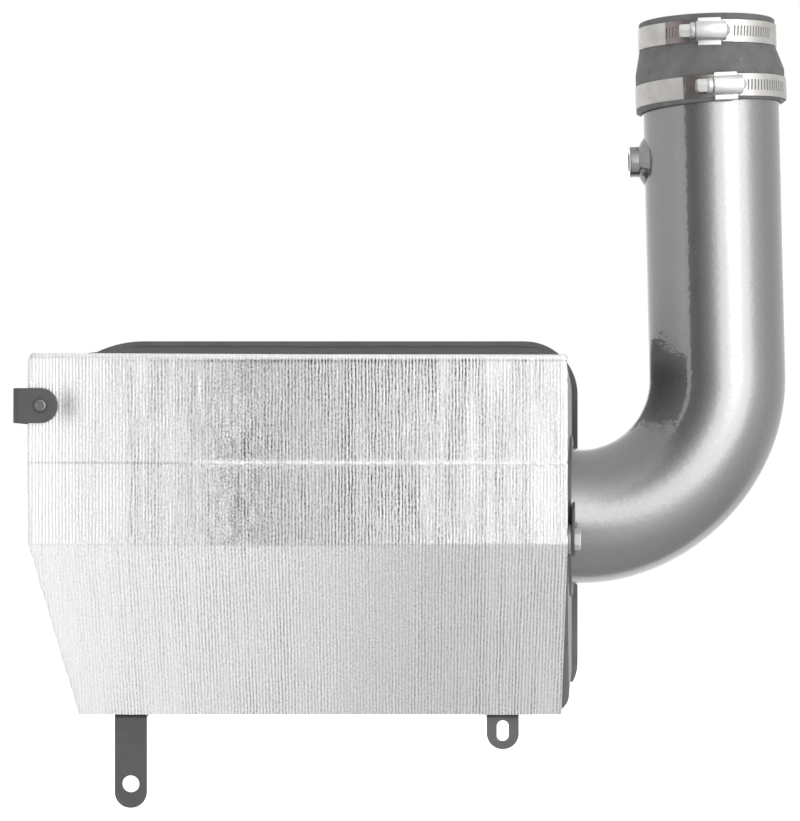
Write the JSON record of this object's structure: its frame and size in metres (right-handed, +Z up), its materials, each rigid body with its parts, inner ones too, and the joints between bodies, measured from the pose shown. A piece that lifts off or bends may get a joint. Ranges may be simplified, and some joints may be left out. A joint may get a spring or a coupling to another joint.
{
  "type": "cold air intake pipe",
  "caption": "Bent metal intake pipe with a rubber reducer at its port and a cone filter on its inner end, carried by a foil-lined heat shield open at the back with hanging brackets.",
  "frame": {"origin": "centre of the reducer's open end, on the port's axis", "axes": "+X towards the pipe's side, away from the shield; +Y from the foil-lined front to the shield's open back; +Z up, along the upright shield"},
  "size_m": [0.4615, 0.1703, 0.4721],
  "materials": {
    "pipe_metal": "polished gunmetal under clear coat",
    "hose_rubber": "smooth matt rubber",
    "clamp_steel": "rolled and stamped strip",
    "filter_rubber": "moulded satin rubber",
    "filter_fabric": "pleated oiled gauze",
    "shell_sheet": "bare formed sheet",
    "mat_foil": "foil-faced fibre mat with pressed ribs",
    "trim_rubber": "extruded matt edging",
    "bracket_paint": "satin grey coat",
    "tab_paint": "satin grey coat",
    "rivet_metal": "plain",
    "screw_steel": "bright plated"
  },
  "bodies": {
    "root": {"intake_pipe": "pipe_metal", "sensor_bung": "pipe_metal", "coupler_hose": "hose_rubber", "upper_clamp_band": "clamp_steel", "upper_clamp_housing": "clamp_steel", "upper_clamp_screw": "screw_steel", "lower_clamp_band": "clamp_steel", "lower_clamp_housing": "clamp_steel", "lower_clamp_screw": "screw_steel", "filter_clamp_band": "clamp_steel", "filter_clamp_housing": "clamp_steel", "filter_clamp_screw": "screw_steel", "filter_flange": "filter_rubber", "filter_media": "filter_fabric", "filter_cap": "filter_rubber", "shield_shell": "shell_sheet", "insulation_mat": "mat_foil", "rim_trim": "trim_rubber", "hole_trim": "trim_rubber", "side_bracket": "bracket_paint", "long_strap": "bracket_paint", "slotted_tab": "tab_paint", "bracket_rivet": "rivet_metal", "strap_rivets": "rivet_metal", "pipe_mount_tab": "tab_paint", "mount_washer": "screw_steel", "mount_bolt": "screw_steel", "mount_nut": "screw_steel"}
  },
  "joints": []
}
